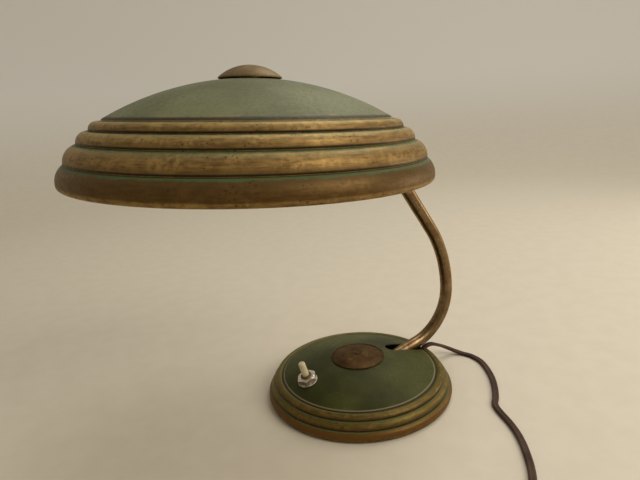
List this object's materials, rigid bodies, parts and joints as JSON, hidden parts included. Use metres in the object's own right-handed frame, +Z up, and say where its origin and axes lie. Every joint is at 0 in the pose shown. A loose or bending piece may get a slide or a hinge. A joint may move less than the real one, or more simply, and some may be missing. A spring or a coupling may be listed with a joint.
{
  "type": "desk lamp",
  "caption": "Metal desk lamp with a wide stepped dome shade on a curved arm, hinged in a slotted round weighted base with a push button.",
  "frame": {"origin": "middle of the felt pad's underside, on the table, under the centre of the round base", "axes": "+Z up; the arm bends in the XZ plane, its foot is on the +X side and the shade hangs over toward -X; the cord's side is -Y"},
  "size_m": [0.3641, 0.4441, 0.307],
  "materials": {
    "green_paint": "matte",
    "aged_brass": "satin",
    "bronzed_steel": "satin",
    "brass": "satin",
    "worn_nickel": "satin",
    "steel": "satin",
    "cast_iron": "matte",
    "felt": "matte",
    "ivory": "satin",
    "brown_bakelite": "gloss",
    "porcelain": "gloss",
    "opal_glass": "gloss",
    "cord_brown": "satin"
  },
  "bodies": {
    "base": {"base_shell": "green_paint", "ballast": "cast_iron", "bottom_plate": "steel", "felt_pad": "felt", "plate_screw_1": "steel", "plate_screw_2": "steel", "plate_screw_3": "steel", "base_cap": "aged_brass", "base_cap_stud": "brass", "hinge_bracket": "steel", "hinge_screw_1": "steel", "hinge_screw_2": "steel", "hinge_bolt": "steel", "hinge_spring_washer": "steel", "hinge_nut": "steel", "switch_body": "brown_bakelite", "switch_bushing": "brass", "switch_washer": "worn_nickel", "switch_nut": "worn_nickel", "switch_spring": "steel", "cord_grip": "brown_bakelite", "grip_screw": "steel", "base_lead": "cord_brown", "cord": "cord_brown", "cord_coil": "cord_brown", "plug_body": "brown_bakelite", "plug_pin_1": "brass", "plug_pin_2": "brass"},
    "button": {"switch_button": "ivory"},
    "arm": {"arm_tube": "aged_brass", "arm_foot": "steel", "arm_lead": "cord_brown", "arm_collar": "aged_brass", "swivel_grub_screw": "steel"},
    "swivel": {"knuckle_fork": "aged_brass", "knuckle_bolt": "brass", "knuckle_washer": "steel", "knuckle_nut": "brass"},
    "shade": {"shade_bracket": "bronzed_steel", "shade_shell": "green_paint", "shade_cap": "aged_brass", "cap_spacer": "brass", "nipple": "brass", "lock_nut": "brass", "holder_cap": "brown_bakelite", "holder_body": "porcelain", "holder_ring": "brown_bakelite", "holder_contact": "brass", "bulb_cap": "brass", "bulb_contact": "steel", "bulb_glass": "opal_glass", "bulb_stem": "opal_glass"}
  },
  "joints": [
    {"name": "arm_tilt", "type": "hinge", "parent": "base", "child": "arm", "pos_m": [0.033, 0, 0.0175], "axis": [0, -1, 0], "range_deg": [0, 25]},
    {"name": "shade_swivel", "type": "hinge", "parent": "arm", "child": "swivel", "pos_m": [-0.0369, 0, 0.2345], "axis": [1, 0, 0], "range_deg": [-15, 15]},
    {"name": "shade_tilt", "type": "hinge", "parent": "swivel", "child": "shade", "pos_m": [-0.0539, 0, 0.2345], "axis": [0, -0.9991, -0.0419], "range_deg": [0, 25]},
    {"name": "button_press", "type": "slide", "parent": "base", "child": "button", "axis": [0.2639, 0.0185, -0.9644], "range_m": [0, 0.004], "stiffness_N_per_m": 400, "springref_m": -0.002, "deforming": ["switch_spring"]}
  ]
}
